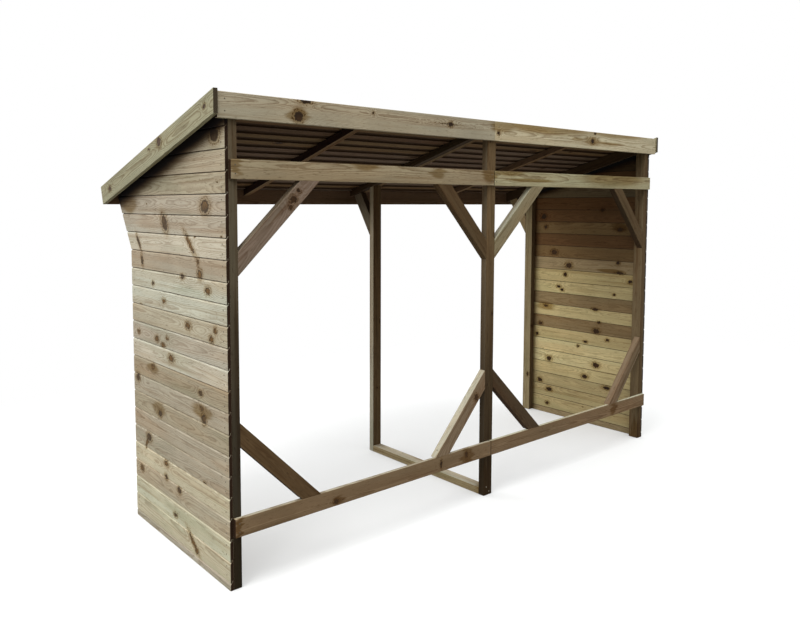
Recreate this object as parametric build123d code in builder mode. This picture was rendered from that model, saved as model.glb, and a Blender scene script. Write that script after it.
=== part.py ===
from build123d import *
import math
import os

# Two-bay log store, in millimetres. X runs along the front, Y from front to rear, Z up.
# The origin is on the ground, under the middle of the whole store.

# Timber sections
stud_thick = 38         # narrow face of the sawn framing stud
stud_wide = 63          # wide face of the same stud
brace_wide = 70         # wide face of the knee braces and the eave struts
board_thick = 20        # planed boards of rails, fascias and barges
arris = 2               # eased edges of the planed boards
rail_high = 78          # lintel and lower rail
fascia_high = 102
barge_high = 94         # measured square to the roof's fall
clad_thick = 16         # shiplap boards of the side walls
clad_cover = 88.5       # height that each shiplap board shows
clad_lowest_joint = 34  # height of the lowest joint, above a board cut down to start the wall
clad_rebate = 4         # how far the bevelled upper edge of a board is set back
clad_bevel = 9          # height of that bevel
rafter_deep = 34
roof_board_thick = 8
roof_board_wide = 100
roof_board_gauge = 82   # distance from one roof board to the next down the slope
roof_first_lap = 37     # first lap, down the slope from the front of the front posts

# Overall frame
frame_length = 3124     # over the outer faces of the end posts
frame_depth = 973       # front of the front posts to the back of the rear posts
rafter_seat = 1970      # underside of the rafters at the front of the front posts
roof_pitch = 16         # degrees
rear_overhang = 212     # rear posts to the outer face of the rear fascia
roof_lip = 15           # how far the roof boards run on past the rear fascia
side_overhang = 60      # wall boarding to the outer face of the barge
barge_lead = 6          # barge's front end proud of the fascia

# Places in the frame
lintel_drop = 287       # rafter seat to the lower edge of the lintel
fascia_drop = 52        # rafter seat to the lower edge of the front fascia
barge_drop = 46         # rafter seat to the underside of the barge, at the front posts
lower_rail_low = 226
strut_lean = 32         # degrees from upright
brace_reach = 390       # corner to the far edge of a brace, along post and rail alike
brace_angle = 45
middle_rafter_left = -807     # centre line of the left middle rafter
middle_rafter_right = 845     # centre line of the right middle rafter

# Worked out from the sizes above
fall = math.tan(math.radians(roof_pitch))
pitch_cos = math.cos(math.radians(roof_pitch))
pitch_sin = math.sin(math.radians(roof_pitch))
lean = math.tan(math.radians(strut_lean))
barge_rear = frame_depth + rear_overhang + barge_high * pitch_sin
barge_front = board_thick + barge_lead
post_front = barge_front - (barge_front + barge_rear) / 2
post_rear = post_front + frame_depth
eave_rear = post_rear + rear_overhang
half_frame = frame_length / 2
half_wall = half_frame + clad_thick
half_roof = half_wall + side_overhang - board_thick
deck_seat = rafter_seat + rafter_deep / pitch_cos
lintel_low = rafter_seat - lintel_drop
fascia_low = rafter_seat - fascia_drop
barge_low = rafter_seat - barge_drop
rear_fascia_face = eave_rear - board_thick

os.makedirs("parts", exist_ok=True)


def roof_line(y, height):
    """Height at depth y of a line that falls with the roof from a height at the post fronts."""
    return height - (y - post_front) * fall


def save(name, piece):
    piece.label = name
    export_step(piece, f"parts/{name}.step")


def side_profile(points, x_low, x_high):
    """Extrude an outline given in depth and height from one X to another."""
    with BuildPart() as slab:
        with BuildSketch(Plane.YZ.offset(x_low)):
            with BuildLine():
                Polyline(*points, close=True)
            make_face()
        extrude(amount=x_high - x_low)
    return slab.part


def front_profile(points, y_low, y_high):
    """Extrude an outline given in X and height from one depth to another."""
    with BuildPart() as slab:
        with BuildSketch(Plane.XZ.offset(-y_low)):
            with BuildLine():
                Polyline(*points, close=True)
            make_face()
        extrude(amount=y_low - y_high)
    return slab.part


# The side walls and struts flare to the rear so that they meet the roof boards at the rear fascia
kink_high = roof_line(rear_fascia_face, deck_seat) - (rear_fascia_face - post_rear) / lean

# ---------------------------------------------------------------- posts

def post(name, x_middle, x_wide, y_low, y_deep, seat):
    y_high = y_low + y_deep
    outline = [(y_low, 0), (y_high, 0), (y_high, roof_line(y_high, seat)), (y_low, roof_line(y_low, seat))]
    save(name, side_profile(outline, x_middle - x_wide / 2, x_middle + x_wide / 2))


end_post = half_frame - stud_thick / 2
wall_rail_seat = deck_seat - stud_wide / pitch_cos
for side, sign in (("left", -1), ("right", 1)):
    post(f"front_post_{side}", sign * end_post, stud_thick, post_front, stud_wide, wall_rail_seat)
    post(f"rear_post_{side}", sign * end_post, stud_thick, post_rear - stud_wide, stud_wide, wall_rail_seat)
post("front_post_centre", 0, stud_wide, post_front, stud_thick, rafter_seat)
post("rear_post_centre", 0, stud_wide, post_rear - stud_thick, stud_thick, rafter_seat)

with BuildPart() as ground_rail:
    with BuildSketch():
        with Locations((0, (post_front + post_rear) / 2)):
            Rectangle(stud_wide, frame_depth - 2 * stud_thick)
    extrude(amount=stud_thick)
save("ground_rail", ground_rail.part)


# ---------------------------------------------------------------- eave struts

def lean_meets_roof(start, seat):
    """Point where a line leaning back from the rear posts at a height meets the roof timbers."""
    height = (roof_line(post_rear, seat) + start * lean * fall) / (1 + lean * fall)
    return (post_rear + (height - start) * lean, height)


strut_upper = kink_high + brace_wide / math.sin(math.radians(strut_lean))
strut_places = (
    ("left", -end_post, wall_rail_seat),
    ("centre", 0, rafter_seat),
    ("right", end_post, wall_rail_seat),
)
for side, x_middle, seat in strut_places:
    outline = [
        (post_rear, kink_high),
        (post_rear, strut_upper),
        lean_meets_roof(strut_upper, seat),
        lean_meets_roof(kink_high, seat),
    ]
    save(f"eave_strut_{side}", side_profile(outline, x_middle - stud_thick / 2, x_middle + stud_thick / 2))


# ---------------------------------------------------------------- side walls

def roof_timber(name, x_middle, seat):
    """A timber that falls with the roof from the front fascia to the rear one, under the roof boards."""
    outline = [
        (post_front, seat),
        (rear_fascia_face, roof_line(rear_fascia_face, seat)),
        (rear_fascia_face, roof_line(rear_fascia_face, deck_seat)),
        (post_front, deck_seat),
    ]
    save(name, side_profile(outline, x_middle - stud_thick / 2, x_middle + stud_thick / 2))

def wall_outline():
    return [
        (post_front, 0),
        (post_rear, 0),
        (post_rear, kink_high),
        lean_meets_roof(kink_high, deck_seat),
        (post_front, deck_seat),
    ]


def boarded_wall(name, sign):
    """Shiplap boarding in its flared outline: each board's upper edge is bevelled back under the next one."""
    inner = sign * half_frame
    outer = sign * half_wall
    courses = math.ceil((deck_seat - clad_lowest_joint) / clad_cover)
    with BuildPart() as wall:
        with BuildSketch(Plane.YZ.offset(min(inner, outer))):
            with BuildLine():
                Polyline(*wall_outline(), close=True)
            make_face()
        extrude(amount=clad_thick)
        for course in range(courses):
            joint = clad_lowest_joint + course * clad_cover
            with BuildSketch(Plane.XZ.offset(-post_front)):
                with BuildLine():
                    Polyline(
                        (outer, joint),
                        (outer - sign * clad_rebate, joint),
                        (outer, joint - clad_bevel),
                        close=True,
                    )
                make_face()
            extrude(amount=post_front - eave_rear, mode=Mode.SUBTRACT)
    save(name, wall.part)


boarded_wall("wall_boarding_left", -1)
boarded_wall("wall_boarding_right", 1)

for side, sign in (("left", -1), ("right", 1)):
    roof_timber(f"wall_top_rail_{side}", sign * end_post, wall_rail_seat)


# ---------------------------------------------------------------- front rails and knee braces

def front_board(name, sign, length, low, high):
    """A planed board on the faces of the front posts, from the middle of the store out to one end."""
    with BuildPart() as board:
        with BuildSketch(Plane.YZ):
            with Locations((post_front - board_thick / 2, (low + high) / 2)):
                RectangleRounded(board_thick, high - low, arris)
        extrude(amount=sign * length)
    save(name, board.part)

for side, sign in (("left", -1), ("right", 1)):
    front_board(f"lintel_{side}", sign, half_frame, lintel_low, lintel_low + rail_high)
    front_board(f"lower_rail_{side}", sign, half_frame, lower_rail_low, lower_rail_low + rail_high)
    front_board(f"front_fascia_{side}", sign, half_roof, fascia_low, fascia_low + fascia_high)

brace_cut = brace_wide / math.cos(math.radians(brace_angle))
brace_middle = brace_reach - brace_cut / 2      # corner to the middle of either end
brace_skew = board_thick / (2 * brace_middle)   # brings the rail end forward by a board's thickness


def knee_brace(name, face, out, corner, up):
    """Brace from a post's side face (X = face) to a rail's edge (Z = corner), flush in front with both."""
    outline = [
        (face, corner - up * brace_reach),
        (face, corner - up * (brace_reach - brace_cut)),
        (face + out * (brace_reach - brace_cut), corner),
        (face + out * brace_reach, corner),
    ]
    halfway = (face + out * brace_middle / 2, post_front - board_thick / 2, corner - up * brace_middle / 2)
    front = Plane(origin=halfway, z_dir=(out * brace_skew, 1, up * brace_skew))
    with BuildPart() as brace:
        add(front_profile(outline, post_front - brace_wide, post_front + brace_wide))
        split(bisect_by=front, keep=Keep.TOP)
        split(bisect_by=front.offset(stud_thick), keep=Keep.BOTTOM)
    save(name, brace.part)


brace_places = (
    ("left", -half_frame + stud_thick, 1),
    ("centre_left", -stud_wide / 2, -1),
    ("centre_right", stud_wide / 2, 1),
    ("right", half_frame - stud_thick, -1),
)
for place, face, out in brace_places:
    knee_brace(f"upper_brace_{place}", face, out, lintel_low, 1)
    knee_brace(f"lower_brace_{place}", face, out, lower_rail_low + rail_high, -1)


# ---------------------------------------------------------------- roof

def rafter(name, x_middle):
    front = post_front
    back = eave_rear - board_thick
    outline = [
        (front, roof_line(front, rafter_seat)),
        (back, roof_line(back, rafter_seat)),
        (back, roof_line(back, deck_seat)),
        (front, roof_line(front, deck_seat)),
    ]
    save(name, side_profile(outline, x_middle - stud_thick / 2, x_middle + stud_thick / 2))


rafter("rafter_left", middle_rafter_left)
rafter("rafter_centre_left", -stud_thick / 2)
rafter("rafter_centre_right", stud_thick / 2)
rafter("rafter_right", middle_rafter_right)


def roof_boarding(name, x_low, x_high):
    """Lapped boards: each one's lower edge lies on the upper edge of the next board down the slope."""
    lift = roof_board_thick / roof_board_gauge
    slope_long = (frame_depth + rear_overhang + roof_lip) / pitch_cos
    boards = 1 + math.ceil((slope_long - roof_first_lap) / roof_board_gauge)
    slope = Plane(origin=(0, post_front, deck_seat), x_dir=(0, 1, -fall), z_dir=(1, 0, 0)).offset(x_low)
    with BuildPart() as deck:
        for board in range(boards):
            upper_edge = roof_first_lap + (board - 1) * roof_board_gauge
            start = max(upper_edge, 0)
            end = min(upper_edge + roof_board_wide, slope_long)
            rise_start = (start - upper_edge) * lift
            rise_end = (end - upper_edge) * lift
            with BuildSketch(slope):
                with BuildLine():
                    Polyline(
                        (start, rise_start),
                        (end, rise_end),
                        (end, rise_end + roof_board_thick),
                        (start, rise_start + roof_board_thick),
                        close=True,
                    )
                make_face()
            extrude(amount=x_high - x_low)
    save(name, deck.part)


roof_boarding("roof_boarding_left", -half_roof, 0)
roof_boarding("roof_boarding_right", 0, half_roof)

for side, sign in (("left", -1), ("right", 1)):
    bottom = roof_line(eave_rear, barge_low)
    outline = [
        (rear_fascia_face, bottom),
        (eave_rear, bottom),
        (eave_rear, roof_line(eave_rear, deck_seat)),
        (rear_fascia_face, roof_line(rear_fascia_face, deck_seat)),
    ]
    with BuildPart() as fascia:
        with BuildSketch(Plane.YZ):
            with BuildLine():
                Polyline(*outline, close=True)
            make_face()
        extrude(amount=sign * half_roof)
        fillet(fascia.edges().filter_by(Axis.X).sort_by(Axis.Z)[:2], arris)
    save(f"rear_fascia_{side}", fascia.part)

barge_top = barge_low + barge_high / pitch_cos
barge_front_face = post_front - barge_front
barge_heel = roof_line(eave_rear, barge_low)
for side, sign in (("left", -1), ("right", 1)):
    outline = [
        (barge_front_face, roof_line(barge_front_face, barge_low)),
        (eave_rear, barge_heel),
        (eave_rear + barge_high * pitch_sin, barge_heel + barge_high * pitch_cos),
        (barge_front_face, roof_line(barge_front_face, barge_top)),
    ]
    with BuildPart() as barge:
        with BuildSketch(Plane.YZ.offset(sign * half_roof)):
            with BuildLine():
                Polyline(*outline, close=True)
            make_face()
        extrude(amount=sign * board_thick)
        fillet(barge.edges().filter_by(Axis((0, 0, 0), (0, 1, -fall))), arris)
    save(f"barge_{side}", barge.part)
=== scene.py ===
import math
import random

import bpy
from mathutils import Matrix, Vector


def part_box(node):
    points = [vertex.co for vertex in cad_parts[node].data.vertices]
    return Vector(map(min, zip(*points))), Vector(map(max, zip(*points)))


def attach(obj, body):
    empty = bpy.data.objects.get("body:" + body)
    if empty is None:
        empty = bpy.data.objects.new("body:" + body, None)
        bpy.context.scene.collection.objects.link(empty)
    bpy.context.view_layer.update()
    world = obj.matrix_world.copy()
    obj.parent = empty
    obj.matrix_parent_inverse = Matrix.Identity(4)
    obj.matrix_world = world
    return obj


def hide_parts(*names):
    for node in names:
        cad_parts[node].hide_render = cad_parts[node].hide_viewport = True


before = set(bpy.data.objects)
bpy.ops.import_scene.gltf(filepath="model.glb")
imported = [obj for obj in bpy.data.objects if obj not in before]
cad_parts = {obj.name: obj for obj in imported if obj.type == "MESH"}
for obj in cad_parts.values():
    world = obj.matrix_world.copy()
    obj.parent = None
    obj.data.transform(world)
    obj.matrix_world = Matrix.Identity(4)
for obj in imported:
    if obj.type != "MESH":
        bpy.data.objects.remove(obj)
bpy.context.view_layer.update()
dice = random.Random(7)

# ---------------------------------------------------------------- sizes, in metres

ROOF_PITCH = math.radians(16)
FLARE_LEAN = math.radians(32)    # how far the eave struts lean from upright

BOARD_COVER = 0.0885             # face that each wall board shows
LOWEST_JOINT = 0.034             # height of the joint over the first board, which is cut down
BOARD_LAP = 0.008                # tongue behind the next board's lip
BOARD_GAP = 0.0016
BOARD_ARRIS = 0.001
BEVEL_DEEP = 0.005               # bevel along a wall board's upper edge
BEVEL_HIGH = 0.007
BEVEL_HIGHLIGHT = 1.15              # how much paler than the face a bevel is at the ground, a painted highlight
BEVEL_HIGHLIGHT_TOP = 1.4           # height at which it has the face's own colour and the painted highlight is gone

ROOF_BOARD_THICK = 0.008
ROOF_BOARD_WIDE = 0.100
ROOF_BOARD_GAUGE = 0.082         # from one board's upper edge to the next one's
ROOF_FIRST_LAP = 0.037           # from the roof's front edge to the second board's upper edge
ROOF_TRIM = 0.004                # by which the boards stop short of the roof's rear edge
ROOF_LAP_SHADE = 0.026           # strip of the underside beside the next board that is painted dark as shade

PLANED_ARRIS = 0.0008
STUD_ARRIS = 0.0015
LEAST_TURN = math.radians(35)    # edges that turn by less have no arris
SAME_POINT = 0.00001             # corners of a CAD timber closer than this are one
SAME_PLANE = math.radians(1)     # and its facets that turn by less are one face
RAIL_GAP = 0.004                 # open joint between the two lengths of a rail

NAIL_RADIUS = 0.003
NAIL_SIDES = 10
NAIL_PROUD = 0.0006
WALL_NAIL_IN = 0.030             # from the wall's front or rear edge
WALL_NAIL_SHARES = (0.28, 0.72)  # of a board's height
WALL_NAIL_UNDER = 0.09           # least depth of a nail below the roof boards
RAIL_NAIL_IN = 0.019             # from the end of each length
FASCIA_NAIL_IN = 0.032
TRIM_NAIL_SHARES = (0.27, 0.73)  # of a rail's or a fascia's height
BRACE_NAIL_UP = 0.030
BRACE_NAIL_IN = 0.021
FOOT_NAILS = ((-0.012, 0.046), (0.010, 0.018))  # X and height of each nail in the centre foot

LOG_LONG = 90                    # log that the timbers are taken from at random places
LOG_OFFSET = 0.03                # by which a timber's middle lies beside the log's
PITH_AWAY = (0.02, 0.06)         # least and greatest distance of the pith from a timber's middle

ROUGHLY = 0.6                    # least cosine between a normal and the way that a face roughly looks
CLOSELY = 0.98                   # the same for a face that looks that way all but exactly

ALONG_X = Vector((1, 0, 0))
ALONG_Y = Vector((0, 1, 0))
UPRIGHT = Vector((0, 0, 1))
DOWN_ROOF = Vector((0, math.cos(ROOF_PITCH), -math.sin(ROOF_PITCH)))
ROOF_NORMAL = Vector((0, math.sin(ROOF_PITCH), math.cos(ROOF_PITCH)))


def paint(red, green, blue):
    """An sRGB colour, 0 to 255, as linear values."""
    linear = []
    for level in (red, green, blue):
        share = level / 255
        linear.append(share / 12.92 if share <= 0.04045 else ((share + 0.055) / 1.055) ** 2.4)
    return (*linear, 1.0)


# ---------------------------------------------------------------- shader maths

class Wire:
    """One output socket of a node tree. Arithmetic on it adds Math nodes."""

    def __init__(self, nodes, socket):
        self.nodes = nodes
        self.socket = socket

    def __add__(self, other):
        return self.nodes.maths("ADD", self, other)

    __radd__ = __add__

    def __sub__(self, other):
        return self.nodes.maths("SUBTRACT", self, other)

    def __rsub__(self, other):
        return self.nodes.maths("SUBTRACT", other, self)

    def __mul__(self, other):
        return self.nodes.maths("MULTIPLY", self, other)

    __rmul__ = __mul__

    def __truediv__(self, other):
        return self.nodes.maths("DIVIDE", self, other)

    def __pow__(self, other):
        return self.nodes.maths("POWER", self, other)

    def least(self, other):
        return self.nodes.maths("MINIMUM", self, other)

    def step(self, low, high):
        """0 below low, 1 above high and a smooth rise between; high may be the smaller."""
        settings = {"interpolation_type": "SMOOTHSTEP"}
        values = {"Value": self, "From Min": low, "From Max": high}
        return self.nodes.wire("ShaderNodeMapRange", settings, values, "Result")

    def part(self, axis):
        return self.nodes.wire("ShaderNodeSeparateXYZ", {}, {"Vector": self}, axis)


class Nodes:
    """A node tree under construction."""

    def __init__(self, tree):
        self.tree = tree
        tree.nodes.clear()

    def add(self, kind, settings, values):
        """A node of a kind, with its settings made first and then its sockets given values or wires."""
        node = self.tree.nodes.new(kind)
        for name, setting in settings.items():
            setattr(node, name, setting)
        for key, value in values.items():
            socket = next((s for s in node.inputs if s.identifier == key), None) or node.inputs[key]
            if isinstance(value, Wire):
                self.tree.links.new(value.socket, socket)
            else:
                socket.default_value = value
        return node

    def wire(self, kind, settings, values, output=0):
        return Wire(self, self.add(kind, settings, values).outputs[output])

    def maths(self, operation, first, second=0.0):
        values = {"Value": first, "Value_001": second}
        return self.wire("ShaderNodeMath", {"operation": operation}, values)

    def vector(self, operation, first, second):
        key = "Scale" if operation == "SCALE" else "Vector_001"
        return self.wire("ShaderNodeVectorMath", {"operation": operation}, {"Vector": first, key: second})

    def length(self, vector):
        return self.wire("ShaderNodeVectorMath", {"operation": "LENGTH"}, {"Vector": vector}, "Value")

    def blend(self, share, first, second, how="MIX"):
        settings = {"data_type": "RGBA", "blend_type": how}
        values = {"Factor_Float": share, "A_Color": first, "B_Color": second}
        return self.wire("ShaderNodeMix", settings, values, 2)

    def attribute(self, name, output):
        return self.wire("ShaderNodeAttribute", {"attribute_name": name}, {}, output)

    def noise(self, vector, scale=1.0, detail=3.0, roughness=0.5, output="Fac"):
        values = {"Vector": vector, "Scale": scale, "Detail": detail, "Roughness": roughness}
        return self.wire("ShaderNodeTexNoise", {}, values, output)

    def ruffled(self, vector, scale, amount):
        """A place moved a little, each time another way, so that round things get uneven edges."""
        push = self.noise(vector, scale, detail=2.0, output="Color")
        push = self.vector("SUBTRACT", push, (0.5, 0.5, 0.5))
        return self.vector("ADD", vector, self.vector("SCALE", push, amount))


class Finish(Nodes):
    """A material under construction."""

    def __init__(self, name):
        self.material = bpy.data.materials.new(name)
        self.material.use_nodes = True
        super().__init__(self.material.node_tree)

    def surface(self, colour, roughness, height, bump_distance, specular=0.1, metallic=0.0):
        relief = {"Height": height, "Distance": bump_distance, "Strength": 1.0}
        bump = self.wire("ShaderNodeBump", {}, relief)
        values = {
            "Base Color": colour,
            "Roughness": roughness,
            "Metallic": metallic,
            "Specular IOR Level": specular,
            "Normal": bump,
        }
        shader = self.wire("ShaderNodeBsdfPrincipled", {}, values)
        self.add("ShaderNodeOutputMaterial", {}, {"Surface": shader})
        return self.material


# ---------------------------------------------------------------- pine and zinc

HEARTWOOD = paint(238, 222, 210)
WARM_WOOD = paint(246, 226, 208)
COOL_WOOD = paint(214, 224, 214)
LATEWOOD = paint(168, 146, 124)
RESIN = paint(206, 190, 172)
FLECK = paint(160, 142, 122)
BLOT = paint(194, 176, 144)
KNOT_HALO = paint(204, 180, 136)
KNOT_COLLAR = paint(150, 124, 88)
KNOT_SMEAR = paint(48, 34, 22)
KNOT_RIM = paint(44, 31, 20)
BROWN_EYE = (paint(106, 79, 44), paint(68, 53, 33))   # a knot's own colour where it is lighter and darker
DARK_EYE = (paint(68, 46, 25), paint(46, 32, 19))
END_GRAIN = paint(42, 27, 15)
# The next one darkens the joints and the roof laps: dirt, and painted shade
JOINT_DIRT_AND_SHADE = paint(64, 46, 31)
# The next one is painted shade for the rear corner of an inner wall face
CORNER_PAINTED_SHADE = paint(120, 100, 80)
# The next two darken a wall under the roof: damp, and painted shadow below the overhang
DAMP_AND_SHADOW_TINT = paint(176, 144, 112)
SOAK_AND_SHADOW_TINT = paint(38, 27, 18)

SMALLEST_KNOT = 0.003            # radius
RING_WIDTH = 0.0034              # of the narrowest ring
RING_SPREAD = 0.002              # by which the widest one is wider
HEART_FULL = 0.042               # radius up to which the wood is all heartwood
HEART_ENDS = 0.050               # and from which it is all sapwood
DAMP_SHADOW_FULL = 0.075                # depth below the roof boards down to which a wall is darkest, with damp and painted shadow
DAMP_SHADOW_ENDS = 0.145                # and down to which the damp and painted shadow reach
FOOT_SHADE = 0.46                # a front post's brightness at its foot and head, against its stain
HEAD_SHADE = 1.46
FOOT_RISE = (0.35, 1.75)         # heights between which it changes
INNER_FRONT = -0.38              # painted light and shade: change in an inner face's brightness at the front and at the rear
INNER_REAR = 0.47
INNER_RUN = (-0.62, 0.35)        # Y between which it goes from the one to the other
INNER_RISE = (0.3, 1.1)          # heights between which it grows from half to full
CORNER_FULL = 0.066              # width of the strip of painted shade along an inner face's rear edge
CORNER_ENDS = 0.093              # and how far from that edge it has faded away
SKIN_FULL = 0.004                # depth in a board down to which it looks as its inner face does
SKIN_ENDS = 0.008                # and from which nothing of that look is left
FIBRE_RELIEF = 0.0006
SPANGLE_RELIEF = 0.0002


class Pine(Finish):
    """Softwood under construction. It reads the grain that lay_grain lays: along, across and deep."""

    def __init__(self, name):
        super().__init__(name)
        self.grain = self.attribute("grain", "Vector")
        self.place = self.wire("ShaderNodeTexCoord", {}, {}, "Object")
        self.fibre = self.drawn_out(14.0, 380.0, roughness=0.6)
        self.cloud = self.drawn_out(2.6, 16.0, detail=4.0)

    def drawn_out(self, along, across, **settings):
        """Noise with so many swells to the metre along the grain and across it."""
        return self.noise(self.vector("MULTIPLY", self.grain, (along, across, across)), **settings)

    def tinted(self, colour, share, tint):
        return self.blend(share, colour, tint, "MULTIPLY")

    def nearest(self, place, marks):
        """How far it is to the nearest mark (centre, reach, tilt), where 1 is the mark's own edge."""
        near = None
        for centre, reach, tilt in marks:
            values = {"Vector": place, "Location": centre, "Rotation": tilt, "Scale": reach}
            inside = self.wire("ShaderNodeMapping", {"vector_type": "TEXTURE"}, values)
            away = self.length(inside)
            near = away if near is None else near.least(away)
        return near

    def scattered_knots(self, along, across, share, large):
        """How far it is to the nearest knot, where 1 is the knot's own edge.

        There are so many cells to the metre along and across, of which a share holds a knot, and large is
        the radius that the large ones come up to.
        """
        cell_space = self.vector("MULTIPLY", self.grain, (along, across, 0.0))
        voronoi = self.add(
            "ShaderNodeTexVoronoi",
            {"voronoi_dimensions": "2D", "feature": "F1"},
            {"Vector": cell_space, "Scale": 1.0, "Randomness": 0.9},
        )
        chance = Wire(self, voronoi.outputs["Color"])
        cell_size = (1 / along, 1 / across, 0.0)
        centre = self.vector("MULTIPLY", Wire(self, voronoi.outputs["Position"]), cell_size)
        flat_grain = self.vector("MULTIPLY", self.ruffled(self.grain, 60.0, 0.014), (1.0, 1.0, 0.0))
        away = self.vector("MULTIPLY", self.vector("SUBTRACT", flat_grain, centre), (0.62, 1.0, 0.0))
        knot_size = SMALLEST_KNOT + chance.part("Y") ** 2.0 * (large - SMALLEST_KNOT)
        empty = chance.part("X").step(share - 0.001, share)
        return self.length(away) / knot_size + empty * 50

    def growth_rings(self, knot):
        """How far it is to the wandering pith, and the late wood of rings that bend round the knots."""
        slow = self.vector("MULTIPLY", self.grain, (0.7, 5.0, 5.0))
        drift_across = (self.noise(slow, detail=1.0) - 0.5) * 0.09
        drift_deep = (self.noise(self.vector("ADD", slow, (17.0, 3.0, 9.0)), detail=1.0) - 0.5) * 0.07
        wobble = (self.drawn_out(12.0, 60.0, detail=3.0) - 0.5) * 0.005
        section_across = self.grain.part("Y") + drift_across
        section_deep = self.grain.part("Z") + drift_deep
        radius = (section_across * section_across + section_deep * section_deep) ** 0.5 + wobble
        pull = self.maths("EXPONENT", knot * knot * -0.10)
        width = RING_WIDTH + self.noise(self.vector("SCALE", self.grain, 0.9)) * RING_SPREAD
        ring_place = self.maths("FRACT", radius / width + pull * 3.0)
        return radius, ring_place.step(0.25, 0.90) * ring_place.step(1.0, 0.90)

    def clear_wood(self, radius, latewood, rings, tints, streaks):
        """The stain with heartwood, warmer and cooler parts, rings, resin streaks, flecks and weather."""
        streak = self.drawn_out(1.6, 55.0, detail=3.0)
        fleck = self.drawn_out(34.0, 230.0, detail=1.0)
        hue = self.drawn_out(1.3, 9.0, detail=2.0)
        weather = self.noise(self.place, scale=6.0, detail=4.0)
        heart = (radius + (self.cloud - 0.5) * 0.02).step(HEART_ENDS, HEART_FULL)
        colour = self.attribute("stain", "Color")
        colour = self.tinted(colour, heart * tints, HEARTWOOD)
        colour = self.tinted(colour, hue.step(0.52, 0.68) * tints, WARM_WOOD)
        colour = self.tinted(colour, hue.step(0.46, 0.32) * tints, COOL_WOOD)
        colour = self.tinted(colour, latewood * rings, LATEWOOD)
        colour = self.tinted(colour, streak.step(0.50, 0.72) * streaks, RESIN)
        colour = self.tinted(colour, fleck.step(0.62, 0.74) * 0.5, FLECK)
        level = 1.02 + streaks * 0.12    # makes good what the streaks take
        shade = level + (self.fibre - 0.5) * 0.42 + (weather - 0.5) * 0.34 + (self.cloud - 0.5) * 0.26
        return self.vector("SCALE", colour, shade)

    def with_blots(self, colour, blots, feather):
        """Brown patches whose edges feather along the board."""
        spread = self.drawn_out(5.0, 60.0, detail=3.0) - 0.5
        feathered = self.vector("ADD", self.place, self.vector("SCALE", feather, spread))
        blot = self.nearest(feathered, blots).step(1.15, 0.60)
        return self.tinted(colour, blot * (0.5 + self.cloud * 0.8), BLOT)

    def with_knots(self, colour, knot, core, light_eye, dark_eye):
        """A smeared eye in a dark rim, a brown collar round it and a yellower halo round that."""
        mood = self.noise(self.place, scale=9.0, detail=1.0).step(0.40, 0.62)
        smear = self.noise(self.place, scale=140.0, detail=3.0)
        halo = knot.step(2.8, 0.9)
        collar = knot.step(1.75, 1.55) * knot.step(1.30, 1.50)
        rim = knot.step(1.25, 1.00) * knot.step(0.60, 0.92)
        eye = self.blend(mood, light_eye, dark_eye)
        eye = self.blend(smear.step(0.46, 0.64) * 0.6, eye, KNOT_SMEAR)
        colour = self.tinted(colour, halo * 0.6, KNOT_HALO)
        colour = self.tinted(colour, collar * smear.step(0.40, 0.60), KNOT_COLLAR)
        colour = self.blend(core, colour, eye)
        return self.blend(rim * (0.35 + smear * 0.8), colour, KNOT_RIM)

    def with_ends_dirt_and_shade(self, colour):
        """Cut ends, and the dirt and painted shade in the joints and the roof laps."""
        colour = self.blend(self.attribute("end", "Fac"), colour, END_GRAIN)
        return self.blend(self.attribute("joint_dirt_and_shade", "Fac") * 0.95, colour, JOINT_DIRT_AND_SHADE)

    def with_damp_and_painted_shadow(self, colour):
        """The damp that creeps down a wall from the roof, darkened further with painted shadow under the
        roof's overhang.
        """
        below_front = self.vector("SUBTRACT", deck_front, self.place)
        values = {"Vector": below_front, "Vector_001": ROOF_NORMAL}
        under = self.wire("ShaderNodeVectorMath", {"operation": "DOT_PRODUCT"}, values, "Value")
        damp_and_shadow = (under + (self.cloud - 0.5) * 0.03).step(DAMP_SHADOW_ENDS, DAMP_SHADOW_FULL)
        colour = self.tinted(colour, damp_and_shadow, DAMP_AND_SHADOW_TINT)
        return self.tinted(colour, damp_and_shadow ** 2.0, SOAK_AND_SHADOW_TINT)

    def with_dark_foot(self, colour):
        """A post that darkens towards the ground."""
        rise = (self.place.part("Z") + (self.cloud - 0.5) * 0.3).step(*FOOT_RISE)
        return self.vector("SCALE", colour, FOOT_SHADE + rise * (HEAD_SHADE - FOOT_SHADE))

    def with_inner_painted_light(self, colour, inner_x):
        """An inner face with painted light and shade: it darkens towards the open front and has painted
        shade in its rear corner.
        """
        inner = self.place.part("X").step(inner_x + SKIN_ENDS, inner_x + SKIN_FULL)
        back = self.place.part("Y")
        reach = self.place.part("Z").step(*INNER_RISE) * 0.5 + 0.5
        change = (back.step(*INNER_RUN) * (INNER_REAR - INNER_FRONT) + INNER_FRONT) * reach * inner
        colour = self.vector("SCALE", colour, 1 + change)
        corner = back.step(wall_rear - CORNER_ENDS, wall_rear - CORNER_FULL) * inner
        return self.tinted(colour, corner * 0.8, CORNER_PAINTED_SHADE)


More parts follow.
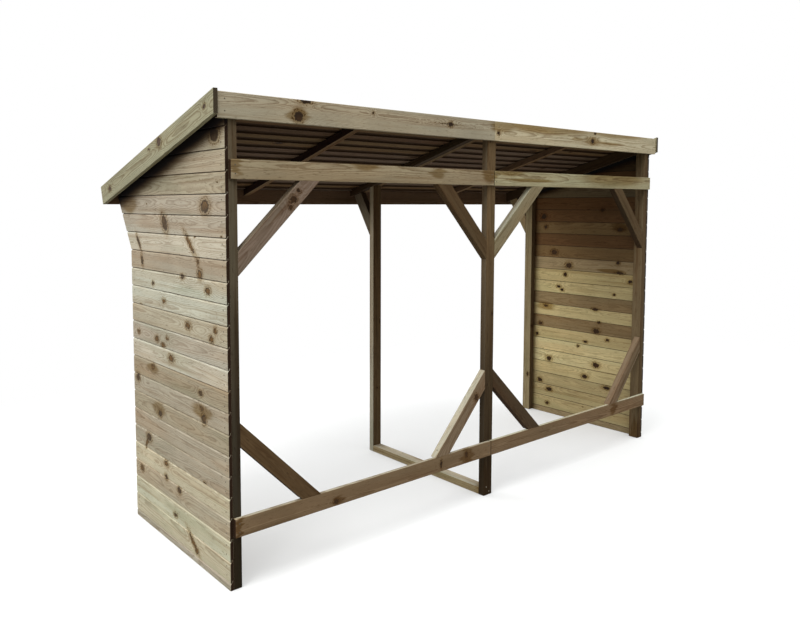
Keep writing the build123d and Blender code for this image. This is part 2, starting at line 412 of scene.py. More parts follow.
def pine(name, rings, knots, marks=(), blots=(), feather=(0.0, 0.0, 0.0), tints=0.5, streaks=0.5,
         eye=BROWN_EYE, rough=0.78, eaves=False, foot=False, inner_x=None):
    """Softwood with rings, knots, fibres and end grain.

    rings and streaks are how strongly those show, and tints how much the colour wanders. knots is what
    scattered_knots takes; marks are placed knots, and blots placed brown patches that feather that far.
    eaves adds the damp and the painted shadow under the roof, foot darkens a post towards the ground, and
    inner_x is where an inner face lies that gets painted light and shade of its own.
    """
    wood = Pine(name)
    knot = wood.scattered_knots(*knots)
    if marks:
        knot = knot.least(wood.nearest(wood.ruffled(wood.place, 85.0, 0.022), marks))
    core = knot.step(1.10, 0.78)
    radius, latewood = wood.growth_rings(knot)
    colour = wood.clear_wood(radius, latewood, rings, tints, streaks)
    if blots:
        colour = wood.with_blots(colour, blots, feather)
    colour = wood.with_knots(colour, knot, core, *eye)
    colour = wood.with_ends_dirt_and_shade(colour)
    if eaves:
        colour = wood.with_damp_and_painted_shadow(colour)
    if foot:
        colour = wood.with_dark_foot(colour)
    if inner_x is not None:
        colour = wood.with_inner_painted_light(colour, inner_x)
    height = wood.fibre * 0.6 - latewood * 0.3 - core * 0.8
    roughness = rough + (wood.fibre - 0.5) * 0.2 - core * 0.1
    return wood.surface(colour, roughness, height, FIBRE_RELIEF)


def galvanised(name, dull, bright):
    """Zinc that goes from the one colour to the other in a fine spangle."""
    finish = Finish(name)
    place = finish.wire("ShaderNodeTexCoord", {}, {}, "Object")
    spangle = finish.noise(place, scale=700.0, detail=2.0)
    colour = finish.blend(spangle, dull, bright)
    roughness = 0.5 + spangle * 0.25
    return finish.surface(colour, roughness, spangle, SPANGLE_RELIEF, specular=0.2, metallic=0.3)


# ---------------------------------------------------------------- working a mesh

def take_up(piece):
    """Makes a piece the only selected object and the active one."""
    bpy.ops.object.select_all(action="DESELECT")
    piece.select_set(True)
    bpy.context.view_layer.objects.active = piece


def open_up(piece):
    """Takes a piece into edit mode with all of it selected."""
    take_up(piece)
    bpy.ops.object.mode_set(mode="EDIT")
    bpy.ops.mesh.select_all(action="SELECT")


def pick(piece, wanted):
    """Selects, in edit mode, the faces for which wanted(centre, normal) holds."""
    bpy.ops.mesh.select_mode(type="FACE")
    bpy.ops.mesh.select_all(action="DESELECT")
    bpy.ops.object.mode_set(mode="OBJECT")
    for face in piece.data.polygons:
        face.select = wanted(face.center, face.normal)
    bpy.ops.object.mode_set(mode="EDIT")


def saw_off(piece, point, normal):
    """Cuts away what lies beyond a plane, on the side that its normal points to."""
    open_up(piece)
    outward = Vector(normal).normalized()
    bpy.ops.mesh.bisect(plane_co=point, plane_no=outward, use_fill=True, clear_outer=True)
    bpy.ops.object.mode_set(mode="OBJECT")


def score(piece, point, normal):
    """Divides the faces that a plane crosses and leaves the shape as it is; the normal is a unit one."""
    open_up(piece)
    bpy.ops.mesh.bisect(plane_co=point, plane_no=normal)
    bpy.ops.object.mode_set(mode="OBJECT")


def block(name, low, high):
    """A box from its low corner to its high one."""
    middle = (Vector(low) + Vector(high)) / 2
    bpy.ops.object.select_all(action="DESELECT")
    bpy.ops.mesh.primitive_cube_add(size=1, location=middle, scale=Vector(high) - Vector(low))
    piece = bpy.context.object
    piece.name = name
    bpy.ops.object.transform_apply(location=True, rotation=True, scale=True)
    return piece


def ease(piece, width, segments=2):
    """Takes the sharp edges off a piece."""
    take_up(piece)
    bevel = piece.modifiers.new("arris", "BEVEL")
    bevel.width = width
    bevel.segments = segments
    bevel.limit_method = "ANGLE"
    bevel.angle_limit = LEAST_TURN
    bpy.ops.object.modifier_apply(modifier=bevel.name)


def copy_of(piece, name, shift=Vector((0, 0, 0))):
    """A copy of a piece with a mesh of its own, moved by the shift."""
    twin = bpy.data.objects.new(name, piece.data.copy())
    bpy.context.scene.collection.objects.link(twin)
    twin.data.transform(Matrix.Translation(shift))
    return twin


def join(pieces, name):
    """Makes several pieces one object, each a shell of its own."""
    bpy.ops.object.select_all(action="DESELECT")
    for piece in pieces:
        piece.select_set(True)
    bpy.context.view_layer.objects.active = pieces[0]
    bpy.ops.object.join()
    whole = bpy.context.object
    whole.name = name
    return whole


def lay_grain(piece, along, across, stain, faces=(), dirty_and_shaded=None):
    """Gives a piece the wood's own directions, a place in the log that no other piece has, and its stain.

    faces lists (way, stain) for the faces that look one way and are stained otherwise; on the timbers
    these stains paint in the light and shade that fall on that side, and on a wall board's bevel a
    painted highlight. The last argument says which faces are black with dirt and painted shade.
    """
    deep = along.cross(across)
    mesh = piece.data
    corners = [vertex.co for vertex in mesh.vertices]
    middle = sum(corners, Vector()) / len(corners)
    along_shift = dice.uniform(0, LOG_LONG)
    across_shift = dice.uniform(-LOG_OFFSET, LOG_OFFSET)
    pith = dice.choice((-1, 1)) * dice.uniform(*PITH_AWAY)
    places = []
    for corner in corners:
        offset = corner - middle
        places += [
            along_shift + offset.dot(along),
            across_shift + offset.dot(across),
            pith + offset.dot(deep),
        ]
    stains = []
    for face in mesh.polygons:
        own = [other for way, other in faces if face.normal.dot(way) > CLOSELY]
        stains += own[0] if own else stain
    ends = [abs(face.normal.dot(along)) ** 4 for face in mesh.polygons]
    joint_dirt_and_shade_values = [1.0 if dirty_and_shaded and dirty_and_shaded(face) else 0.0 for face in mesh.polygons]
    mesh.attributes.new("grain", "FLOAT_VECTOR", "POINT").data.foreach_set("vector", places)
    mesh.attributes.new("stain", "FLOAT_COLOR", "FACE").data.foreach_set("color", stains)
    mesh.attributes.new("end", "FLOAT", "FACE").data.foreach_set("value", ends)
    mesh.attributes.new("joint_dirt_and_shade", "FLOAT", "FACE").data.foreach_set("value", joint_dirt_and_shade_values)


def fit(piece, finish, slot, *nodes):
    """Gives a piece its finish and body, and hides the CAD nodes that it stands in for; slot is not used.
    """
    piece.data.materials.clear()
    piece.data.materials.append(finish)
    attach(piece, "root")
    if nodes:
        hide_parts(*nodes)


# ---------------------------------------------------------------- places read from the frame

wall_low, wall_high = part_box("wall_boarding_left")
wall_front = wall_low.y
wall_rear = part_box("rear_post_left")[1].y
wall_thick = wall_high.x - wall_low.x
flare_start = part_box("eave_strut_left")[0].z
rafter_low, rafter_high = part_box("rafter_left")
deck_front = Vector((0, rafter_low.y, rafter_high.z))
barge_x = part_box("roof_boarding_left")[0].x


# ---------------------------------------------------------------- stains

BLEACHED = paint(189, 188, 164)
CREAM = paint(184, 180, 163)
MILKY = paint(177, 176, 159)
PALE = paint(182, 174, 149)
SANDY = paint(165, 157, 136)
BISQUE = paint(165, 159, 143)
GREY = paint(159, 150, 131)
TAN = paint(153, 143, 121)
STRAW = paint(216, 202, 152)
HONEY = paint(196, 178, 128)
BUTTER = paint(204, 187, 137)
HAY = paint(185, 169, 124)
WALNUT = paint(145, 124, 89)
COPPER = paint(126, 102, 68)
PEAT = paint(108, 79, 50)
OLIVE = paint(166, 147, 112)
HAZEL = paint(112, 99, 75)
LICHEN = paint(141, 139, 114)
FLAX = paint(173, 165, 142)
OATMEAL = paint(202, 194, 164)
MOSS = paint(141, 133, 106)
HEMP = paint(156, 142, 114)
WILLOW = paint(172, 165, 132)
UMBER = paint(90, 73, 50)
TAUPE = paint(93, 81, 63)
CAROB = paint(74, 59, 42)
HUSK = paint(126, 108, 86)
BARK = paint(79, 71, 56)
MAUVE = paint(124, 107, 92)
RUSSET = paint(126, 104, 76)
COCOA = paint(129, 109, 83)
CHESTNUT = paint(106, 84, 64)
DRIFTWOOD = paint(178, 173, 153)
ASH = paint(158, 142, 108)
SLATE = paint(120, 109, 92)
SOOT = paint(44, 27, 18)
COFFEE = paint(68, 54, 38)

# Boards of an end wall from the ground up: its weather side, then its inner side
WEATHER_SIDE = (
    BISQUE, PALE, BLEACHED, SANDY, PALE, GREY, GREY, TAN, GREY, TAN, CREAM, BISQUE, SANDY,
    MILKY, MILKY, GREY, CREAM, BISQUE, BISQUE, TAN, SANDY, SANDY, GREY, GREY,
)
INNER_SIDE = (
    ASH, HAY, HAY, HAY, BUTTER, STRAW, STRAW, BUTTER, WALNUT, BUTTER, WALNUT, BUTTER,
    HONEY, OLIVE, COPPER, PEAT, COPPER, PEAT, PEAT, HAZEL, PEAT, UMBER, UMBER, UMBER,
)
ROOF_STAINS = (MAUVE, RUSSET, MAUVE, CHESTNUT)
PALEST = 0.8                     # linear level that a painted highlight stops at


def highlighted(stain, share):
    """A stain lightened to a multiple of its own brightness, for a painted highlight."""
    return (*(min(level * share, PALEST) for level in stain[:3]), 1.0)


# ---------------------------------------------------------------- placed knots and blots

WALL_REACH = 0.05                # how far through a wall or a barge a mark reaches
FRONT_REACH = 0.08               # and through the timbers across the front
INNER_SIZE = 0.85                # of a knot on the inner side, against what its line says


def weather_knot(back, high, wide, tall, tilt=0.0):
    """A knot on the left wall's weather side: how far behind the front edge, how high, half its size."""
    return ((wall_low.x, wall_front + back, high), (WALL_REACH, wide, tall), (tilt, 0, 0))


def inner_knot(back, high, wide, tall):
    """A knot on the inner side of the right wall."""
    reach = (WALL_REACH, wide * INNER_SIZE, tall * INNER_SIZE)
    return ((-wall_high.x, wall_front + back, high), reach, (0, 0, 0))


def front_mark(x, high, wide, tall, tilt=0.0):
    """A knot or a blot on a timber across the front."""
    return ((x, wall_front, high), (wide, FRONT_REACH, tall), (0, tilt, 0))


def barge_knot(back, high, wide, tall):
    """A knot on the left barge board."""
    return ((barge_x, wall_front + back, high), (WALL_REACH, wide, tall), (0, 0, 0))


weather_knots = [
    weather_knot(0.085, 1.863, 0.032, 0.026),
    weather_knot(0.175, 1.575, 0.032, 0.025),
    weather_knot(0.575, 1.500, 0.022, 0.036, -0.60),
    weather_knot(0.875, 1.400, 0.009, 0.036, -0.63),
    weather_knot(0.840, 1.315, 0.011, 0.022, -0.30),
    weather_knot(0.320, 1.415, 0.011, 0.054, -0.80),
    weather_knot(0.245, 1.340, 0.010, 0.014),
    weather_knot(0.230, 1.290, 0.018, 0.018),
    weather_knot(0.400, 1.268, 0.016, 0.009),
    weather_knot(0.715, 1.212, 0.012, 0.009),
    weather_knot(0.160, 1.225, 0.020, 0.013),
    weather_knot(0.595, 1.140, 0.014, 0.009),
    weather_knot(0.350, 1.055, 0.022, 0.013),
    weather_knot(0.100, 1.065, 0.012, 0.012),
    weather_knot(0.135, 1.025, 0.017, 0.012),
    weather_knot(0.900, 0.957, 0.014, 0.009),
    weather_knot(0.570, 0.968, 0.012, 0.007),
    weather_knot(0.615, 0.930, 0.018, 0.009),
    weather_knot(0.530, 0.881, 0.024, 0.014),
    weather_knot(0.735, 0.808, 0.014, 0.010),
    weather_knot(0.920, 0.725, 0.018, 0.018),
    weather_knot(0.215, 0.670, 0.018, 0.018, -0.50),
    weather_knot(0.235, 0.712, 0.012, 0.009),
    weather_knot(0.663, 0.595, 0.016, 0.014),
    weather_knot(0.800, 0.446, 0.024, 0.016),
    weather_knot(0.826, 0.415, 0.008, 0.026, 0.60),
    weather_knot(0.605, 0.368, 0.018, 0.011),
    weather_knot(0.610, 0.302, 0.014, 0.012),
    weather_knot(0.470, 0.280, 0.017, 0.012),
    weather_knot(0.895, 0.266, 0.018, 0.014),
    weather_knot(0.515, 0.151, 0.016, 0.009),
    weather_knot(0.335, 0.085, 0.011, 0.046, -0.90),
    weather_knot(0.300, 0.058, 0.014, 0.013),
]
inner_knots = [
    inner_knot(0.830, 1.493, 0.025, 0.022),
    inner_knot(0.330, 1.545, 0.015, 0.011),
    inner_knot(0.190, 1.410, 0.018, 0.013),
    inner_knot(0.810, 1.417, 0.015, 0.013),
    inner_knot(0.730, 1.230, 0.027, 0.018),
    inner_knot(0.600, 1.139, 0.027, 0.020),
    inner_knot(0.200, 1.179, 0.015, 0.011),
    inner_knot(0.185, 1.110, 0.033, 0.010),
    inner_knot(0.628, 1.069, 0.016, 0.015),
    inner_knot(0.105, 1.056, 0.018, 0.013),
    inner_knot(0.655, 0.955, 0.015, 0.011),
    inner_knot(0.797, 0.821, 0.018, 0.011),
    inner_knot(0.371, 0.836, 0.027, 0.011),
    inner_knot(0.338, 0.747, 0.015, 0.011),
    inner_knot(0.843, 0.682, 0.018, 0.013),
    inner_knot(0.359, 0.682, 0.027, 0.018),
    inner_knot(0.876, 0.595, 0.015, 0.013),
    inner_knot(0.269, 0.629, 0.015, 0.011),
    inner_knot(0.507, 0.553, 0.013, 0.010),
    inner_knot(0.761, 0.420, 0.025, 0.019),
    inner_knot(0.355, 0.436, 0.027, 0.020),
    inner_knot(0.447, 0.338, 0.025, 0.016),
    inner_knot(0.841, 0.243, 0.022, 0.016),
    inner_knot(0.755, 0.185, 0.027, 0.016),
    inner_knot(0.267, 0.288, 0.033, 0.013),
    inner_knot(0.769, 0.076, 0.018, 0.013),
]
wall_blots = [
    weather_knot(0.980, 1.580, 0.100, 0.045),
    weather_knot(0.740, 0.800, 0.080, 0.026),
    weather_knot(0.230, 0.700, 0.110, 0.034),
    weather_knot(0.680, 0.615, 0.080, 0.040),
]
inner_blots = [
    inner_knot(0.190, 1.425, 0.090, 0.040),
    inner_knot(0.250, 1.120, 0.130, 0.020),
    inner_knot(0.800, 0.820, 0.110, 0.040),
]
frame_blots = [
    front_mark(-1.543, 0.000, 0.060, 0.300),
    front_mark(0.000, 0.060, 0.060, 0.200),
    front_mark(1.543, 0.000, 0.060, 0.150),
]
board_knots = [
    front_mark(-1.241, 1.950, 0.021, 0.020),
    front_mark(-1.205, 2.013, 0.026, 0.008),
    front_mark(-0.832, 1.997, 0.006, 0.005),
    front_mark(-0.333, 1.980, 0.015, 0.010),
    front_mark(-0.340, 1.980, 0.070, 0.002),
    front_mark(0.130, 1.782, 0.020, 0.012),
    front_mark(0.030, 1.959, 0.010, 0.009),
    front_mark(0.892, 1.963, 0.014, 0.013),
    front_mark(-0.381, 0.265, 0.006, 0.017),
    front_mark(-0.195, 0.272, 0.007, 0.012),
    front_mark(-1.050, 0.246, 0.010, 0.010),
    barge_knot(0.480, 1.857, 0.020, 0.018),
    barge_knot(0.590, 1.829, 0.010, 0.005),
    barge_knot(1.082, 1.662, 0.016, 0.011),
    barge_knot(0.050, 1.965, 0.010, 0.008),
]
board_blots = [
    front_mark(-1.245, 1.955, 0.060, 0.036),
    front_mark(0.060, 1.995, 0.110, 0.036),
    front_mark(0.420, 2.022, 0.520, 0.056),
    front_mark(0.890, 1.966, 0.110, 0.030),
    front_mark(0.740, 1.968, 0.070, 0.012),
    front_mark(1.150, 2.026, 0.400, 0.034),
    front_mark(1.080, 1.958, 0.170, 0.012),
    front_mark(-1.541, 1.745, 0.030, 0.060),
    front_mark(-0.880, 1.760, 0.090, 0.030),
    front_mark(-0.420, 1.735, 0.060, 0.030),
    front_mark(-0.040, 1.745, 0.060, 0.060),
    front_mark(0.110, 1.760, 0.160, 0.030),
    front_mark(0.300, 1.715, 0.260, 0.012),
    front_mark(1.130, 1.745, 0.400, 0.060),
    front_mark(-1.550, 0.265, 0.020, 0.060),
    front_mark(-1.050, 0.250, 0.045, 0.022),
    front_mark(-0.190, 0.265, 0.050, 0.060),
    front_mark(1.185, 0.270, 0.040, 0.050),
]
frame_knots = [
    front_mark(-1.268, 1.604, 0.015, 0.014),
    front_mark(-1.278, 1.572, 0.009, 0.009),
    front_mark(-1.240, 1.640, 0.010, 0.006, 0.6),
    front_mark(-0.105, 0.560, 0.012, 0.016),
]


# ---------------------------------------------------------------- this store's finishes

# How far a blot's edges feather
FEATHER_FRONT = Vector((0.12, 0.0, 0.01))
FEATHER_WALL = Vector((0.0, 0.10, 0.01))
FEATHER_POST = Vector((0.0, 0.0, 0.30))

# Cells to the metre along and across, share with a knot, radius of the large ones
WALL_KNOTS = (2.4, 11.0, 0.15, 0.012)
PLANED_KNOTS = (1.5, 11.0, 0.12, 0.012)
FRAMING_KNOTS = (2.4, 11.0, 0.35, 0.012)
ROOF_KNOTS = (2.6, 10.0, 0.60, 0.022)


def sawn_pine(name, foot=False):
    """The frame's own finish, rougher and more streaked than the boards'."""
    return pine(
        name, 0.34, FRAMING_KNOTS, frame_knots, frame_blots, FEATHER_POST, streaks=0.9,
        eye=DARK_EYE, rough=0.85, foot=foot,
    )


left_wall_finish = pine(
    "left_wall_pine", 0.42, WALL_KNOTS, weather_knots, wall_blots, FEATHER_WALL, tints=0.4, eaves=True,
)
right_wall_finish = pine(
    "right_wall_pine", 0.36, WALL_KNOTS, inner_knots, inner_blots, FEATHER_WALL, tints=0.25,
    eye=DARK_EYE, eaves=True, inner_x=-wall_high.x,
)
planed_finish = pine(
    "planed_pine", 0.60, PLANED_KNOTS, board_knots, board_blots, FEATHER_FRONT, tints=0.25, eye=DARK_EYE,
)
framing_finish = sawn_pine("framing_pine")
front_post_finish = sawn_pine("front_post_pine", foot=True)
roof_board_finish = pine("roof_board_pine", 0.4, ROOF_KNOTS, eye=DARK_EYE, rough=0.88)
nail_finish = galvanised("weathered_nail", paint(74, 66, 54), paint(112, 104, 90))
foot_nail_finish = galvanised("bright_nail", paint(142, 136, 120), paint(180, 174, 158))


# ---------------------------------------------------------------- end walls

def in_joint(face):
    """Holds for the faces of a board that lie up or down, in the joint with the next board, which are
    darkened with dirt and painted shade.
    """
    return abs(face.normal.z) > ROUGHLY


def shiplap_board(back_x, out, bottom, rear):
    """One board with a bevelled upper edge, a tongue behind it and a lip that covers the tongue below.

    back_x is its inner face and out the way that its outer face looks.
    """
    front_x = back_x + out * wall_thick
    middle_x = (back_x + front_x) / 2
    low = (min(back_x, front_x), wall_front, bottom + BOARD_LAP)
    high = (max(back_x, front_x), rear, bottom + BOARD_COVER - BOARD_GAP)
    board = block("board", low, high)
    score(board, (middle_x, 0, 0), ALONG_X)
    open_up(board)
    pick(board, lambda centre, normal: normal.z < -CLOSELY and (centre.x - middle_x) * out > 0)
    bpy.ops.mesh.extrude_region_move(TRANSFORM_OT_translate={"value": (0, 0, -BOARD_LAP)})
    pick(board, lambda centre, normal: normal.z > CLOSELY and (centre.x - middle_x) * out < 0)
    bpy.ops.mesh.extrude_region_move(TRANSFORM_OT_translate={"value": (0, 0, BOARD_LAP)})
    bpy.ops.object.mode_set(mode="OBJECT")
    saw_off(board, (front_x, 0, high[2] - BEVEL_HIGH), (out * BEVEL_HIGH, 0, BEVEL_DEEP))
    return board


def end_wall(side, out, weather_side, inner_side, finish):
    """A wall of shiplap boards up to the roof's slope, whose upper ones run out to the eave strut."""
    low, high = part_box(f"wall_boarding_{side}")
    back_x = high.x if out < 0 else low.x
    inward = Vector((-out, 0, 0))
    bevel_way = Vector((out * BEVEL_HIGH, 0, BEVEL_DEEP)).normalized()
    boards = []
    for course, (stain, inner_stain) in enumerate(zip(weather_side, inner_side)):
        bottom = LOWEST_JOINT + (course - 1) * BOARD_COVER
        flared = bottom > flare_start - BOARD_COVER / 2
        rear = high.y if flared else wall_rear
        board = shiplap_board(back_x, out, bottom, rear)
        if bottom < low.z:
            saw_off(board, (0, 0, low.z), (0, 0, -1))
        if flared:
            saw_off(board, (0, wall_rear, flare_start), (0, math.cos(FLARE_LEAN), -math.sin(FLARE_LEAN)))
        saw_off(board, deck_front, ROOF_NORMAL)
        if not board.data.polygons:
            bpy.data.objects.remove(board)
            continue
        ease(board, BOARD_ARRIS, segments=1)
        # Bevels near the ground get a painted highlight, paler the lower they lie
        highlight = 1 + (BEVEL_HIGHLIGHT - 1) * max(0, 1 - bottom / BEVEL_HIGHLIGHT_TOP)
        sides = [(inward, inner_stain), (bevel_way, highlighted(stain, highlight))]
        lay_grain(board, ALONG_Y, UPRIGHT, stain, sides, in_joint)
        boards.append(board)
    wall = join(boards, f"wall_boards_{side}")
    fit(wall, finish, "wall_boards", f"wall_boarding_{side}")


end_wall("left", -1, WEATHER_SIDE, INNER_SIDE, left_wall_finish)
end_wall("right", 1, WEATHER_SIDE[::-1], INNER_SIDE, right_wall_finish)


# ---------------------------------------------------------------- roof boards

def roof_half(side):
    """Lapped boards: each one's lower edge lies on the upper edge of the next board down the slope."""
    low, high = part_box(f"roof_boarding_{side}")
    tip = math.atan2(ROOF_BOARD_THICK, ROOF_BOARD_GAUGE)
    slope_long = (high.y - low.y) / math.cos(ROOF_PITCH)
    count = 1 + math.ceil((slope_long - ROOF_FIRST_LAP) / ROOF_BOARD_GAUGE)
    boards = []
    for course in range(count):
        start = ROOF_FIRST_LAP + (course - 1) * ROOF_BOARD_GAUGE
        board = block("board", (low.x, 0, 0), (high.x, ROOF_BOARD_WIDE, ROOF_BOARD_THICK))
        turn = Matrix.Rotation(tip - ROOF_PITCH, 4, "X")
        board.data.transform(Matrix.Translation(deck_front + DOWN_ROOF * start) @ turn)
        shade_line = deck_front + DOWN_ROOF * (start + ROOF_BOARD_GAUGE - ROOF_LAP_SHADE)
        score(board, shade_line, DOWN_ROOF)
        saw_off(board, deck_front, -DOWN_ROOF)
        saw_off(board, deck_front + DOWN_ROOF * (slope_long - ROOF_TRIM), DOWN_ROOF)
        if not board.data.polygons:
            bpy.data.objects.remove(board)
            continue

        def in_lap_shade(face):
            """Holds for the upper edge, which is darkened, and for the underside beside the next board,
            where the dark is painted shade.
            """
            below = face.normal.z < -ROUGHLY and (face.center - shade_line).dot(DOWN_ROOF) > 0
            return below or face.normal.dot(DOWN_ROOF) < -ROUGHLY

        lay_grain(board, ALONG_X, DOWN_ROOF, dice.choice(ROOF_STAINS), dirty_and_shaded=in_lap_shade)
        boards.append(board)
    roof = join(boards, f"roof_boards_{side}")
    fit(roof, roof_board_finish, "roof_boards", f"roof_boarding_{side}")


roof_half("left")
roof_half("right")


# ---------------------------------------------------------------- timbers

def timber(node, along, across, stain, faces, finish, slot, arris, joint=0.0):
    """A CAD timber's copy with eased edges and its own grain; joint is the X that it is cut back to."""
    piece = copy_of(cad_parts[node], f"{node}_timber")
    open_up(piece)
    bpy.ops.mesh.remove_doubles(threshold=SAME_POINT)
    bpy.ops.mesh.dissolve_limited(angle_limit=SAME_PLANE)
    bpy.ops.object.mode_set(mode="OBJECT")
    if joint:
        saw_off(piece, (joint, 0, 0), (-joint, 0, 0))
    ease(piece, arris)
    lay_grain(piece, along, across, stain, faces)
    fit(piece, finish, slot, node)


def stud(node, along, across, stain, faces=(), finish=framing_finish):
    """A sawn timber."""
    timber(node, along, across, stain, faces, finish, "framing", STUD_ARRIS)


def planed(node, along, across, stain, faces=(), joint=0.0):
    """A planed trim board."""
    timber(node, along, across, stain, faces, planed_finish, "planed_boards", PLANED_ARRIS, joint)


LEFT_FACE = -ALONG_X
FRONT_FACE = -ALONG_Y
rising = Vector((1, 0, 1)).normalized()
falling = Vector((1, 0, -1)).normalized()
strut_way = Vector((0, math.sin(FLARE_LEAN), math.cos(FLARE_LEAN)))

# The second stains in these lists, for the faces that look one way, are lighter or darker than the
# timber's own: painted light and shade on that side
stud("front_post_left", UPRIGHT, ALONG_Y, BARK, [(LEFT_FACE, COFFEE)], front_post_finish)
stud("front_post_centre", UPRIGHT, ALONG_X, UMBER, [(LEFT_FACE, TAUPE)], front_post_finish)
stud("front_post_right", UPRIGHT, ALONG_Y, UMBER, [(LEFT_FACE, HAZEL)])
stud("rear_post_left", UPRIGHT, ALONG_Y, UMBER)
stud("rear_post_centre", UPRIGHT, ALONG_X, UMBER, [(LEFT_FACE, DRIFTWOOD)])
stud("rear_post_right", UPRIGHT, ALONG_Y, UMBER, [(LEFT_FACE, ASH)])
stud("ground_rail", ALONG_Y, ALONG_X, ASH, [(UPRIGHT, DRIFTWOOD)])

stud("upper_brace_left", rising, falling, MAUVE, [(-falling, SLATE)])
stud("upper_brace_centre_left", falling, rising, UMBER)
stud("upper_brace_centre_right", rising, falling, MOSS, [(-falling, DRIFTWOOD)])
stud("upper_brace_right", falling, rising, UMBER, [(-rising, COFFEE)])
stud("lower_brace_left", falling, rising, UMBER, [(-rising, COFFEE)])
stud("lower_brace_centre_left", rising, falling, HUSK, [(-falling, DRIFTWOOD)])
stud("lower_brace_centre_right", falling, rising, CAROB, [(-rising, COFFEE)])
stud("lower_brace_right", rising, falling, HUSK, [(-falling, HUSK)])

stud("eave_strut_left", strut_way, ALONG_X, COFFEE, [(LEFT_FACE, SLATE)])
stud("eave_strut_centre", strut_way, ALONG_X, COFFEE, [(LEFT_FACE, SLATE)])
stud("eave_strut_right", strut_way, ALONG_X, COFFEE, [(LEFT_FACE, OLIVE)])
stud("rafter_left", DOWN_ROOF, ROOF_NORMAL, SOOT, [(-ROOF_NORMAL, RUSSET)])
stud("rafter_centre_left", DOWN_ROOF, ROOF_NORMAL, COFFEE, [(-ROOF_NORMAL, COFFEE)])
stud("rafter_centre_right", DOWN_ROOF, ROOF_NORMAL, COFFEE, [(-ROOF_NORMAL, RUSSET)])
stud("rafter_right", DOWN_ROOF, ROOF_NORMAL, CHESTNUT, [(-ROOF_NORMAL, RUSSET)])
stud("wall_top_rail_left", DOWN_ROOF, ROOF_NORMAL, COFFEE)
stud("wall_top_rail_right", DOWN_ROOF, ROOF_NORMAL, COFFEE)

planed("lintel_left", ALONG_X, UPRIGHT, HEMP, joint=-RAIL_GAP / 2)
planed("lintel_right", ALONG_X, UPRIGHT, WILLOW, joint=RAIL_GAP / 2)
# The lower rails' tops get paler stains, a painted highlight where the light falls on them
planed("lower_rail_left", ALONG_X, UPRIGHT, COCOA, [(UPRIGHT, SANDY)], -RAIL_GAP / 2)
planed("lower_rail_right", ALONG_X, UPRIGHT, COCOA, [(UPRIGHT, BLEACHED)], RAIL_GAP / 2)
planed("front_fascia_left", ALONG_X, UPRIGHT, FLAX)
planed("front_fascia_right", ALONG_X, UPRIGHT, OATMEAL)
planed("rear_fascia_left", ALONG_X, UPRIGHT, CHESTNUT)
planed("rear_fascia_right", ALONG_X, UPRIGHT, CHESTNUT)
planed("barge_left", DOWN_ROOF, ROOF_NORMAL, LICHEN)
planed("barge_right", DOWN_ROOF, ROOF_NORMAL, LICHEN)


# ---------------------------------------------------------------- nails

def nail_heads(name, places, way, finish=nail_finish):
    """Flat round heads, a little proud of the faces that they stand on."""
    bpy.ops.object.select_all(action="DESELECT")
    bpy.ops.mesh.primitive_cylinder_add(vertices=NAIL_SIDES, radius=NAIL_RADIUS, depth=2 * NAIL_PROUD)
    head = bpy.context.object
    head.data.transform(way.to_track_quat("Z", "Y").to_matrix().to_4x4())
    heads = [copy_of(head, "head", place) for place in places]
    bpy.data.objects.remove(head)
    fit(join(heads, name), finish, "framing")


for side, out in (("left", -1), ("right", 1)):
    places = []
    outer_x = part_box(f"wall_boarding_{side}")[0 if out < 0 else 1].x
    for course in range(1, len(WEATHER_SIDE) - 1):
        for share in WALL_NAIL_SHARES:
            high = LOWEST_JOINT + (course - 1 + share) * BOARD_COVER
            places.append(Vector((outer_x, wall_front + WALL_NAIL_IN, high)))
            if high < flare_start:
                places.append(Vector((outer_x, wall_rear - WALL_NAIL_IN, high)))
    under_roof = [place for place in places if (deck_front - place).dot(ROOF_NORMAL) > WALL_NAIL_UNDER]
    nail_heads(f"wall_nails_{side}", under_roof, Vector((out, 0, 0)))

insets = {"lintel": RAIL_NAIL_IN, "lower_rail": RAIL_NAIL_IN, "front_fascia": FASCIA_NAIL_IN}
for board, inset in insets.items():
    places = []
    for side in ("left", "right"):
        low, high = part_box(f"{board}_{side}")
        for x in (low.x + inset, high.x - inset):
            for share in TRIM_NAIL_SHARES:
                places.append(Vector((x, low.y, low.z + (high.z - low.z) * share)))
    nail_heads(f"{board}_nails", places, FRONT_FACE)

# A nail at the foot of each lower brace, in the edge that looks up and into the bay
looking_right = ("rising", ("left", "centre_right"), rising)
looking_left = ("falling", ("centre_left", "right"), -falling)
for name, sides, way in (looking_right, looking_left):
    places = []
    for side in sides:
        low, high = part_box(f"lower_brace_{side}")
        foot_x = high.x - BRACE_NAIL_UP if way.x > 0 else low.x + BRACE_NAIL_UP
        places.append(Vector((foot_x, low.y + BRACE_NAIL_IN, low.z + BRACE_NAIL_UP)))
    nail_heads(f"brace_nails_{name}", places, way)

foot_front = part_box("front_post_centre")[0].y
foot_places = [Vector((x, foot_front, high)) for x, high in FOOT_NAILS]
nail_heads("foot_nails", foot_places, FRONT_FACE, foot_nail_finish)


# ---------------------------------------------------------------- floor, light and camera

FLOOR_SIDE = 60
FLOOR_DROP = 0.001               # how far the floor lies below the feet
FLOOR_POOL = (0.55, 1.0, 0.0)    # shape of the patch that takes the shadow
POOL_ENDS = (1.0, 3.2)           # its radius where it starts to turn plain white and where it has
FLOOR_GLOW = 0.35                # share of plain white in the floor beside the object
FLOOR_THROWN = paint(124, 122, 116)
FLOOR_SEEN = paint(236, 236, 234)
SKY_COLOUR = paint(246, 248, 250)
SKY_HORIZON = 0.42
SKY_ZENITH = 1.7
LAMP_SIDE = 3.5
PLAIN_WHITE = (1, 1, 1, 1)


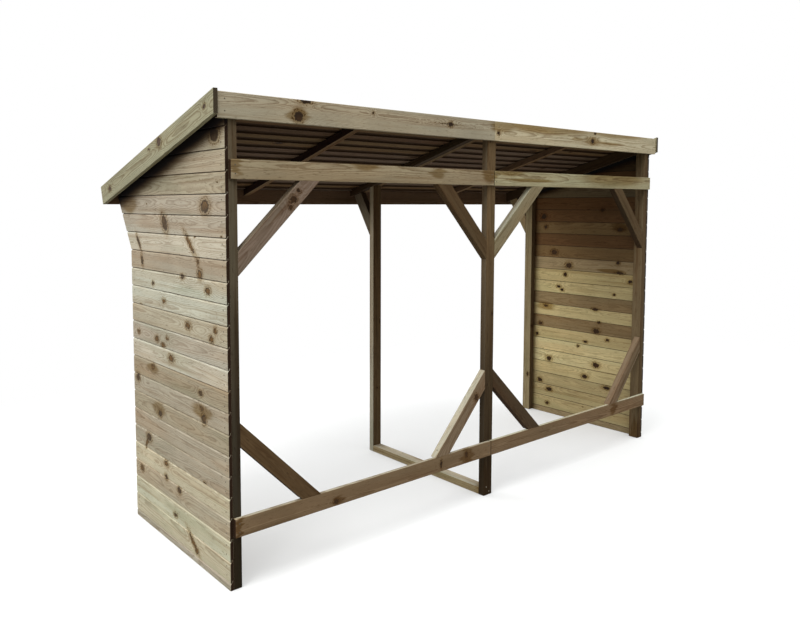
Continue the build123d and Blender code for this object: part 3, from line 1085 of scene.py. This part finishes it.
def background_share(nodes):
    """1 for rays that look at the background, straight or in a shiny thing, and 0 for the light's own."""
    share = 0.0
    for ray in ("Is Camera Ray", "Is Glossy Ray", "Is Transmission Ray"):
        share = nodes.wire("ShaderNodeLightPath", {}, {}, ray) + share
    return share.least(1.0)


def studio_floor():
    """A pale floor that keeps the shadow near the object and runs out to plain white."""
    bpy.ops.object.select_all(action="DESELECT")
    bpy.ops.mesh.primitive_plane_add(size=FLOOR_SIDE, location=(0, 0, -FLOOR_DROP))
    floor = bpy.context.object
    floor.name = "floor"
    finish = Finish("floor")
    place = finish.wire("ShaderNodeTexCoord", {}, {}, "Object")
    away = finish.length(finish.vector("MULTIPLY", place, FLOOR_POOL))
    seen = background_share(finish)
    colour = finish.blend(seen, FLOOR_THROWN, FLOOR_SEEN)
    matt = finish.wire("ShaderNodeBsdfDiffuse", {}, {"Color": colour})
    white = finish.wire("ShaderNodeEmission", {}, {"Color": PLAIN_WHITE, "Strength": 1.0})
    whiteness = seen * (away.step(*POOL_ENDS) * (1 - FLOOR_GLOW) + FLOOR_GLOW)
    shaders = {"Fac": whiteness, "Shader": matt, "Shader_001": white}
    mixed = finish.wire("ShaderNodeMixShader", {}, shaders)
    finish.add("ShaderNodeOutputMaterial", {}, {"Surface": mixed})
    floor.data.materials.append(finish.material)


def overcast_sky():
    """Soft light from all round that is strongest overhead, behind a white backdrop."""
    world = bpy.data.worlds.new("studio")
    bpy.context.scene.world = world
    world.use_nodes = True
    sky = Nodes(world.node_tree)
    upward = sky.wire("ShaderNodeTexCoord", {}, {}, "Generated").part("Z")
    strength = upward.step(-0.2, 1.0) * (SKY_ZENITH - SKY_HORIZON) + SKY_HORIZON
    ambient = sky.wire("ShaderNodeBackground", {}, {"Color": SKY_COLOUR, "Strength": strength})
    backdrop = sky.wire("ShaderNodeBackground", {}, {"Color": PLAIN_WHITE, "Strength": 1.0})
    seen = background_share(sky)
    shaders = {"Fac": seen, "Shader": ambient, "Shader_001": backdrop}
    mixed = sky.wire("ShaderNodeMixShader", {}, shaders)
    sky.add("ShaderNodeOutputWorld", {}, {"Surface": mixed})


def softbox(name, place, aim, power):
    """A square lamp at a place, turned towards an aim."""
    lamp = bpy.data.lights.new(name, "AREA")
    lamp.shape = "SQUARE"
    lamp.size = LAMP_SIDE
    lamp.energy = power
    holder = bpy.data.objects.new(name, lamp)
    bpy.context.scene.collection.objects.link(holder)
    holder.location = place
    holder.rotation_euler = (Vector(aim) - Vector(place)).to_track_quat("-Z", "Y").to_euler()


scene = bpy.context.scene
scene.view_settings.view_transform = "Standard"
studio_floor()
overcast_sky()
softbox("key", (-5.5, -1.6, 6.2), (0, 0, 1), 320)
softbox("back", (-3.5, 6.5, 3.5), (0.5, 0, 0.8), 180)

camera_data = bpy.data.cameras.new("camera")
camera_data.sensor_width = 36
camera_data.lens = 32.75
camera_data.shift_x = 0.0424
camera_data.shift_y = -0.0769
camera = bpy.data.objects.new("camera", camera_data)
camera.location = (-2.9745, -3.167, 1.581)
looks_down = 0.0734
turned_right = 0.6876
camera.rotation_euler = (math.pi / 2 - looks_down, 0, -turned_right)
scene.collection.objects.link(camera)
scene.camera = camera
